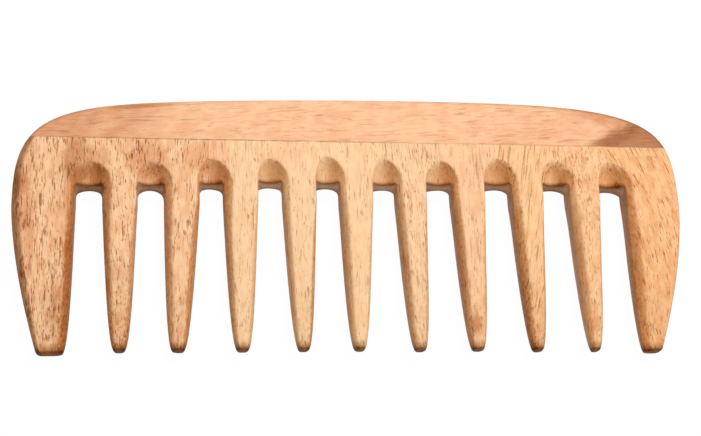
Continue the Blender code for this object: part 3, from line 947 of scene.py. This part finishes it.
def worked_group(name):
    """What sawing, grinding and gluing leave, and painted shade: brown facets, scoops, tip ends, glue
    line.
    """
    nodes, given, result = new_group(name, {
        "Vector": ("Vector",),
        "Color": ("Color", "Pore Color", "Ground Color", "Wall Color", "Rim Color", "Burnt Color",
                  "Glue Color"),
        "Float": ("Ground", "Scoop", "Across", "Rim", "Tip", "Seam", "Smudge", "Ragged", "Glue",
                  "Rim Start", "Rim Full"),
    }, {"Color": ("Color",)})
    brown, pore = given["Ground Color"], given["Pore Color"]
    ground, scoop = given["Ground"], given["Scoop"]
    speckled = nodes.blotches(given["Vector"], *SPECKS, detail=3.0)
    cloudy = nodes.blotches(given["Vector"], *CLOUDS)
    patchy = nodes.blotches(given["Vector"], *PATCHES)

    # Facets and scoops: browner away from their ragged crease; the ground mark holds painted shade
    # as well as the wood's own brown
    facet = nodes.math("MINIMUM", given["Across"], 1.0)
    ragged = nodes.product(nodes.scale(cloudy, 2.0, -1.0), given["Ragged"])
    softness = nodes.product(given["Ragged"], CREASE_SOFTNESS)
    crease = nodes.ease(nodes.math("ADD", facet, ragged), CREASE_START, softness)
    uneven = nodes.product(ground, nodes.scale(patchy, *UNEVENNESS), crease)
    now = nodes.tint(uneven, given["Color"], brown)
    now = nodes.tint(nodes.math("SUBTRACT", uneven, 1.0), now, brown)
    now = nodes.tint(nodes.product(ground, facet, OUTER_SHARE), now, brown)

    # Painted shade on side walls and undersides, along the scoops' arches and as a line at their lips,
    # and specks on all that is ground
    wall = nodes.math("SUBTRACT", given["Across"], 1.0, clamp=True)
    wall_shade_mask = nodes.ease(wall, *WALL_EDGE)
    now = nodes.mix(nodes.product(wall_shade_mask, WALL_SHADE_SHARE), now, given["Wall Color"])
    deeper = nodes.math("SUBTRACT", ground, 1.0, clamp=True)
    now = nodes.tint(nodes.product(deeper, wall_shade_mask), now, brown)
    # Painted shade along the top of each scoop's arch, broken up by noise
    arch = nodes.product(scoop, nodes.math("SUBTRACT", 1.0, facet))
    arch_shade = nodes.product(arch, nodes.ease(cloudy, *ARCH_SHADE_RANGE), ground, ARCH_SHADE_SHARE)
    now = nodes.tint(arch_shade, now, pore)
    # A painted shadow line where each scoop's lip meets the web's underside
    above = nodes.ease(given["Across"], *LIP_SHADOW_ABOVE)
    lip = nodes.product(above, nodes.fade(wall, *LIP_SHADOW_BELOW), scoop, LIP_SHADOW_SHARE)
    now = nodes.tint(lip, now, pore)
    speck = nodes.product(ground, nodes.ease(speckled, *SPECK_RANGE),
                          nodes.scale(scoop, SCOOP_SPECKS, 1.0), clamp=True)
    now = nodes.tint(nodes.product(speck, SPECK_SHARE), now, pore)

    # Tips: browner from far up, partly smudging and partly painted shade, grimy, darker at the end
    # and burnt by the saw
    near = nodes.fade(given["Tip"], *SMUDGE_AND_SHADE_END)
    smudge = nodes.product(near, nodes.scale(patchy, *SMUDGE_AND_SHADE_PATCHES), clamp=True)
    now = nodes.tint(nodes.product(smudge, given["Smudge"]), now, brown)
    grime = nodes.ease(speckled, *GRIME_RANGE, 0.0, GRIME_SHARE)
    now = nodes.tint(nodes.product(near, grime, given["Smudge"]), now, pore)
    dark = nodes.product(nodes.fade(given["Tip"], *DARK_END), nodes.scale(cloudy, *END_CLOUDS))
    now = nodes.tint(dark, now, pore)
    now = nodes.tint(nodes.fade(given["Tip"], *BURNT_END), now, given["Burnt Color"])

    # Painted shade on the outer rim, and the glue line
    rim = nodes.ease(given["Rim"], given["Rim Start"], given["Rim Full"])
    now = nodes.tint(nodes.product(rim, nodes.scale(patchy, *RIM_PATCHES)), now, given["Rim Color"])
    line = nodes.fade(nodes.math("ABSOLUTE", given["Seam"]), *SEAM_LINE)
    line = nodes.product(line, nodes.scale(patchy, *SEAM_PATCHES), clamp=True)
    now = nodes.mix(nodes.product(line, given["Glue"]), now, given["Glue Color"])
    nodes.feed(result, {"Color": now})
    return nodes.tree


def stain_group(name):
    """A stain with a ragged edge, where its vector is shorter than one."""
    nodes, given, result = new_group(name, {
        "Vector": ("Vector",),
        "Color": ("Color", "Tint"),
        "Float": ("Amount", "Softness"),
    }, {"Color": ("Color",)})
    away = nodes.add("ShaderNodeVectorMath", {0: given["Vector"]}, operation="LENGTH")["Value"]
    noise = nodes.add("ShaderNodeTexNoise", {"Vector": given["Vector"], **STAIN_NOISE})["Fac"]
    ragged = nodes.product(nodes.math("SUBTRACT", noise, 0.5), STAIN_RAGGEDNESS)
    core = nodes.math("SUBTRACT", 1.0, given["Softness"])
    inside = nodes.fade(nodes.scale(ragged, given["Softness"], away), core, 1.0)
    inside = nodes.product(inside, given["Amount"])
    nodes.feed(result, {"Color": nodes.tint(inside, given["Color"], given["Tint"])})
    return nodes.tree


def coloured(colours, *names):
    """The sockets that take the named colours."""
    return {f"{name.title()} Color": (*getattr(colours, name), 1) for name in names}


def levelled(looks, *names):
    """The sockets that take the named settings of a look."""
    return {name.title(): looks[name] for name in names}


def seat_in_plank(nodes, place, looks):
    """A piece's place in the plank that it was cut from, where its grain leans or bends over."""
    height = nodes.add("ShaderNodeSeparateXYZ", {0: place})["Y"]
    risen = nodes.math("MAXIMUM", nodes.math("SUBTRACT", height, BEND_START), 0.0)
    sideways = nodes.joined(nodes.product(risen, risen, looks["bend"]), 0.0, 0.0)
    return nodes.add("ShaderNodeMapping", {
        "Vector": nodes.vector("ADD", place, sideways),
        "Location": looks["seed"],
        "Rotation": (0, 0, math.radians(looks["lean"])),
    }, vector_type="POINT")[0]


def wood_material(name, looks, colours, stains=()):
    """The wood of one piece.

    The looks say how light and red it is, how its pores, streaks and bands show, how its grain
    leans and where in the plank it was cut.
    """
    material = bpy.data.materials.new(name)
    material.use_nodes = True
    nodes = Nodes(material.node_tree)
    place = nodes.add("ShaderNodeTexCoord")["Object"]
    seat = seat_in_plank(nodes, place, looks)
    marks = {mark: nodes.add("ShaderNodeAttribute", attribute_name=mark)["Fac"] for mark in MARKS}
    closed = nodes.scale(marks["ground"], PORES_CLOSED, 1.0, clamp=True)
    grain = nodes.group("Wood Grain", grain_group, {
        "Vector": seat,
        "Wood Color": (*looks["wood"], 1),
        "Pores": nodes.product(closed, looks["pores"]),
        **coloured(colours, "blush", "pore", "heart"),
        **levelled(looks, "strokes", "streaks", "bands", "mottling", "strength", "length", "warp"),
    })
    now = grain["Color"]
    for x, y, reach_x, reach_y, turn, tint, amount, softness in stains:
        spot = nodes.add("ShaderNodeMapping", {
            "Vector": place,
            "Location": (x, y, THICKNESS),
            "Rotation": (0, 0, math.radians(turn)),
            "Scale": (reach_x, reach_y, STAIN_DEPTH),
        }, vector_type="TEXTURE")[0]
        now = nodes.group("Stain", stain_group, {
            "Color": now, "Vector": spot, "Tint": (*tint, 1), "Amount": amount, "Softness": softness,
        })["Color"]
    worked = nodes.group("Worked Wood", worked_group, {
        "Color": now,
        "Vector": seat,
        "Rim Start": looks["rim"][0],
        "Rim Full": looks["rim"][1],
        **{mark.title(): value for mark, value in marks.items()},
        **coloured(colours, "pore", "ground", "wall", "rim", "burnt", "glue"),
        **levelled(looks, "smudge", "ragged", "glue"),
    })
    bump = {"Height": grain["Height"], "Strength": BUMP_STRENGTH, "Distance": BUMP_DISTANCE}
    nodes.feed(material.node_tree.nodes["Principled BSDF"].inputs, {
        "Base Color": worked["Color"],
        "Roughness": grain["Rough"],
        "Normal": nodes.add("ShaderNodeBump", bump)[0],
        "Specular IOR Level": WOOD_GLOSS,
    })
    return material


# In a look, the browning towards the tips is partly smudging and partly painted shade
PLAIN_LOOK = {
    "pores": 0.4, "strokes": 0.08, "streaks": 0.25, "bands": 0.15, "mottling": 0.6, "strength": 0.75,
    "length": 1.0, "lean": 0.0, "bend": 0.0, "warp": 0.0008, "smudge": 0.3, "ragged": 0.6,
    # The rim pair: where the painted shade on the outer edge starts and where it is full
    "glue": 0.6, "rim": (0.7, 1.0),
}


def look(wood, seed, **changes):
    """The settings of one piece of wood, with what differs from the plain look."""
    return {**PLAIN_LOOK, "wood": wood, "seed": seed, **changes}


# One look for each stave from left to right: its colour, its place in the plank and its settings
STAVE_LOOKS = (
    look((0.99, 0.61, 0.355), (0.11, 0.03, 0.02), pores=0.62, strokes=0.06, streaks=0.40, bands=0.20,
         mottling=1.0, strength=0.84, smudge=0.35, rim=(-0.35, 0.20)),
    look((0.98, 0.61, 0.35), (0.23, 0.41, 0.05), pores=0.50, strokes=0.10, bands=0.15, mottling=1.0,
         lean=-3, strength=0.95, smudge=1.1, glue=0.8),
    look((0.985, 0.61, 0.355), (0.37, 0.17, 0.09), pores=0.52, strokes=0.16, bands=0.12, mottling=0.9,
         lean=2, strength=0.82, smudge=0.3, glue=0.9),
    look((0.985, 0.65, 0.375), (0.53, 0.29, 0.01), pores=0.40, strokes=0.16, bands=0.08, mottling=0.5,
         strength=0.65, smudge=0.0, ragged=0.3, glue=0.9),
    look((0.985, 0.65, 0.375), (0.61, 0.07, 0.13), pores=0.34, strokes=0.12, streaks=0.18, bands=0.05,
         mottling=0.4, strength=0.65, smudge=0.3, ragged=0.25, glue=0.9),
    look((0.985, 0.645, 0.37), (0.71, 0.53, 0.03), pores=0.30, strokes=0.12, streaks=0.18, bands=0.05,
         mottling=0.4, strength=0.65, smudge=0.0, ragged=0.15),
    look((0.985, 0.64, 0.37), (0.83, 0.11, 0.07), pores=0.50, strokes=0.24, streaks=0.30, bands=0.05,
         mottling=0.5, strength=0.66, lean=-4, smudge=0.25, ragged=0.2, glue=0.3),
    look((0.985, 0.600, 0.340), (0.97, 0.37, 0.11), pores=0.30, strokes=0.24, streaks=0.32, bands=0.08,
         smudge=0.2, ragged=0.2, glue=0.15),
    look((0.98, 0.595, 0.305), (1.09, 0.27, 0.04), pores=0.30, strokes=0.55, streaks=0.60, bands=0.08,
         lean=11, length=1.6, smudge=0.6, glue=0.15),
    look((0.985, 0.60, 0.315), (1.21, 0.47, 0.08), pores=0.48, length=0.6, bands=0.08, mottling=1.0,
         strength=0.6, smudge=0.12, glue=0.3),
    look((0.97, 0.54, 0.265), (1.33, 0.13, 0.06), pores=0.42, strokes=0.42, streaks=0.16, bands=0.08,
         mottling=1.0, strength=0.82, length=1.1, lean=-4, bend=4.2, smudge=0.35, rim=(0.45, 1.1)),
)
SPINE_LOOK = look((0.98, 0.565, 0.325), (1.51, 0.31, 0.02), pores=0.17, strokes=0.09, streaks=0.34,
                  bands=0.10, length=1.4, lean=86, warp=0.0022, strength=0.52, glue=0.3, rim=(0.0, 1.1))

# Stains: place, reach, turn in degrees, tint, amount and softness
SPINE_STAINS = (
    (0.0742, 0.0157, 0.0345, 0.0122, 28, (0.53, 0.40, 0.315), 1.0, 0.32),
    (0.0712, 0.0238, 0.0075, 0.0030, 20, (0.82, 0.74, 0.66), 1.0, 0.7),
    (0.0690, 0.0300, 0.0150, 0.0050, -18, (0.80, 0.66, 0.58), 1.0, 0.8),
    (0.0540, 0.0240, 0.0300, 0.0140, 0, (0.96, 0.92, 0.90), 1.0, 0.9),
    (-0.0800, 0.0240, 0.0420, 0.0200, 10, (0.79, 0.66, 0.59), 1.0, 0.80),
    (-0.0540, 0.0318, 0.0120, 0.0010, 4, (0.60, 0.42, 0.28), 0.7, 0.6),
)
STAVE_STAINS = {
    0: (
        (-0.0700, 0.0165, 0.0070, 0.0085, 0, (0.76, 0.62, 0.52), 0.9, 0.6),
        (-0.0714, 0.0000, 0.0032, 0.0260, 0, (0.80, 0.65, 0.52), 0.9, 0.6),
        (-0.0860, -0.0020, 0.0085, 0.0300, 0, (0.87, 0.75, 0.67), 1.0, 0.8),
        (-0.0845, 0.0105, 0.0040, 0.0055, 0, (0.74, 0.61, 0.52), 1.0, 0.8),
        (-0.0732, -0.0240, 0.0052, 0.0130, 0, (0.72, 0.58, 0.48), 1.0, 1.0),
    ),
    1: (
        (-0.0680, 0.0160, 0.0070, 0.0060, 0, (0.80, 0.66, 0.57), 0.9, 0.5),
        (-0.0648, 0.0100, 0.0020, 0.0025, 0, (0.36, 0.28, 0.18), 1.0, 0.7),
        (-0.0540, 0.0170, 0.0060, 0.0060, 0, (0.86, 0.70, 0.62), 0.9, 0.5),
    ),
    2: (
        (-0.0530, 0.0170, 0.0070, 0.0060, 0, (0.86, 0.70, 0.62), 0.9, 0.5),
        (-0.0395, 0.0175, 0.0050, 0.0050, 0, (0.88, 0.72, 0.60), 0.9, 0.5),
        (-0.0494, 0.0108, 0.0017, 0.0030, 0, (0.66, 0.56, 0.44), 1.0, 0.7),
    ),
    3: (
        (-0.0390, 0.0195, 0.0072, 0.0300, 0, (0.98, 0.84, 0.83), 1.0, 0.12),
        (-0.0350, 0.0112, 0.0015, 0.0016, 0, (0.62, 0.52, 0.40), 1.0, 0.7),
    ),
    4: ((-0.0180, 0.0190, 0.0062, 0.0050, 0, (1.00, 0.91, 0.89), 1.0, 0.5),),
    7: ((0.0292, -0.0268, 0.0024, 0.0040, 0, (0.62, 0.40, 0.28), 0.85, 0.7),),
    9: (
        (0.0545, 0.0102, 0.0020, 0.0020, 0, (0.50, 0.42, 0.30), 1.0, 0.7),
        (0.0598, -0.0275, 0.0020, 0.0045, 0, (0.84, 0.68, 0.60), 1.0, 1.0),
    ),
    10: ((0.0699, 0.0102, 0.0021, 0.0022, 0, (0.44, 0.36, 0.25), 1.0, 0.7),),
}


class COMB_OT_spine(bpy.types.Operator):
    """Build the spine"""

    bl_idname = "comb.add_spine"
    bl_label = "Add Spine"

    def execute(self, context):
        wood = wood_material("Spine Wood", SPINE_LOOK, context.scene.comb_colours, SPINE_STAINS)
        make_spine(context.scene.comb_sizes, wood)
        return {"FINISHED"}


class COMB_OT_staves(bpy.types.Operator):
    """Build the staves, each with its tooth"""

    bl_idname = "comb.add_staves"
    bl_label = "Add Staves"

    def execute(self, context):
        for index, looks in enumerate(STAVE_LOOKS):
            wood = wood_material(f"Stave Wood {index + 1:02d}", looks, context.scene.comb_colours,
                                 STAVE_STAINS.get(index, ()))
            make_stave(index, context.scene.comb_sizes, wood)
        return {"FINISHED"}


# The stage
FLOOR_REACH = 2.0
FLOOR_GAP = 0.0003
FLOOR_SHADOW_SHARE = 0.045
FLOOR_GLOW = 0.975
FLOOR_ROUGHNESS = 0.9
WORLD_STRENGTH = 0.435
KEY_PLACE = (0.35, 0.45, 1.05)
KEY_SIZE = 0.50
KEY_POWER = 9.9
CAMERA_PLACE = (-0.04525, -0.11009, 0.32633)
CAMERA_TURN = (19.436, -6.903, -2.568)
CAMERA_LENS = 68.45
CAMERA_NEAR = 0.01


def camera_sees(nodes):
    """One where the camera, or a mirror or glass before it, looks straight at a surface."""
    path = nodes.add("ShaderNodeLightPath")
    seen = nodes.math("MAXIMUM", path["Is Camera Ray"], path["Is Glossy Ray"])
    return nodes.math("MAXIMUM", seen, path["Is Transmission Ray"])


def make_floor(colours):
    """A pale floor that looks nearly white itself and keeps a faint shadow of the comb."""
    mesh = bpy.data.meshes.new("floor")
    corners = [(x * FLOOR_REACH, y * FLOOR_REACH, -FLOOR_GAP)
               for x, y in ((-1, -1), (1, -1), (1, 1), (-1, 1))]
    mesh.from_pydata(corners, [], [(0, 1, 2, 3)])
    floor = bpy.data.objects.new("floor", mesh)
    bpy.context.scene.collection.objects.link(floor)
    material = bpy.data.materials.new("Floor")
    material.use_nodes = True
    nodes = Nodes(material.node_tree)
    seen = camera_sees(nodes)
    dim = [channel * FLOOR_SHADOW_SHARE for channel in colours.floor]
    nodes.feed(material.node_tree.nodes["Principled BSDF"].inputs, {
        "Base Color": nodes.mix(seen, (*colours.floor, 1), (*dim, 1)),
        "Roughness": FLOOR_ROUGHNESS,
        "Specular IOR Level": 0.0,
        "Emission Color": nodes.mix(seen, (0, 0, 0, 1), (FLOOR_GLOW, FLOOR_GLOW, FLOOR_GLOW, 1)),
        "Emission Strength": 1.0,
    })
    mesh.materials.append(material)


def make_lamp(name, place, size, power):
    """A square soft lamp that looks at the middle of the comb."""
    lamp = bpy.data.objects.new(name, bpy.data.lights.new(name, "AREA"))
    lamp.data.energy = power
    lamp.data.size = size
    lamp.location = place
    lamp.rotation_euler = lamp.location.to_track_quat("Z", "Y").to_euler()
    bpy.context.scene.collection.objects.link(lamp)


def make_world(strength):
    """Even white light from all round, which the camera sees as white."""
    world = bpy.data.worlds.new("world")
    world.use_nodes = True
    nodes = Nodes(world.node_tree)
    nodes.feed(world.node_tree.nodes["Background"].inputs, {
        "Color": (1, 1, 1, 1),
        "Strength": nodes.scale(camera_sees(nodes), 1 - strength, strength),
    })
    bpy.context.scene.world = world


class COMB_OT_stage(bpy.types.Operator):
    """Build the floor, the lamp, the world's light and the camera"""

    bl_idname = "comb.set_stage"
    bl_label = "Set Stage"

    def execute(self, context):
        scene = context.scene
        make_floor(scene.comb_colours)
        make_lamp("key", KEY_PLACE, KEY_SIZE, KEY_POWER)
        make_world(WORLD_STRENGTH)
        camera = bpy.data.objects.new("camera", bpy.data.cameras.new("camera"))
        camera.location = CAMERA_PLACE
        camera.rotation_euler = [math.radians(angle) for angle in CAMERA_TURN]
        camera.data.lens = CAMERA_LENS
        camera.data.clip_start = CAMERA_NEAR
        scene.collection.objects.link(camera)
        scene.camera = camera
        scene.view_settings.view_transform = "Standard"
        return {"FINISHED"}


class COMB_PT_panel(bpy.types.Panel):
    """Lists the steps that build the comb"""

    bl_idname = "COMB_PT_panel"
    bl_label = "Wooden Comb"
    bl_space_type = "VIEW_3D"
    bl_region_type = "UI"
    bl_category = "Comb"

    def draw(self, context):
        for step in (COMB_OT_spine, COMB_OT_staves, COMB_OT_stage):
            self.layout.operator(step.bl_idname)


CLASSES = (CombSizes, CombColours, COMB_OT_spine, COMB_OT_staves, COMB_OT_stage, COMB_PT_panel)


def register():
    for made in CLASSES:
        bpy.utils.register_class(made)
    bpy.types.Scene.comb_sizes = PointerProperty(type=CombSizes)
    bpy.types.Scene.comb_colours = PointerProperty(type=CombColours)


def unregister():
    del bpy.types.Scene.comb_colours
    del bpy.types.Scene.comb_sizes
    for made in reversed(CLASSES):
        bpy.utils.unregister_class(made)


def main():
    """Register the add-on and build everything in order."""
    register()
    bpy.ops.comb.add_spine()
    bpy.ops.comb.add_staves()
    bpy.ops.comb.set_stage()


if __name__ == "__main__":
    main()
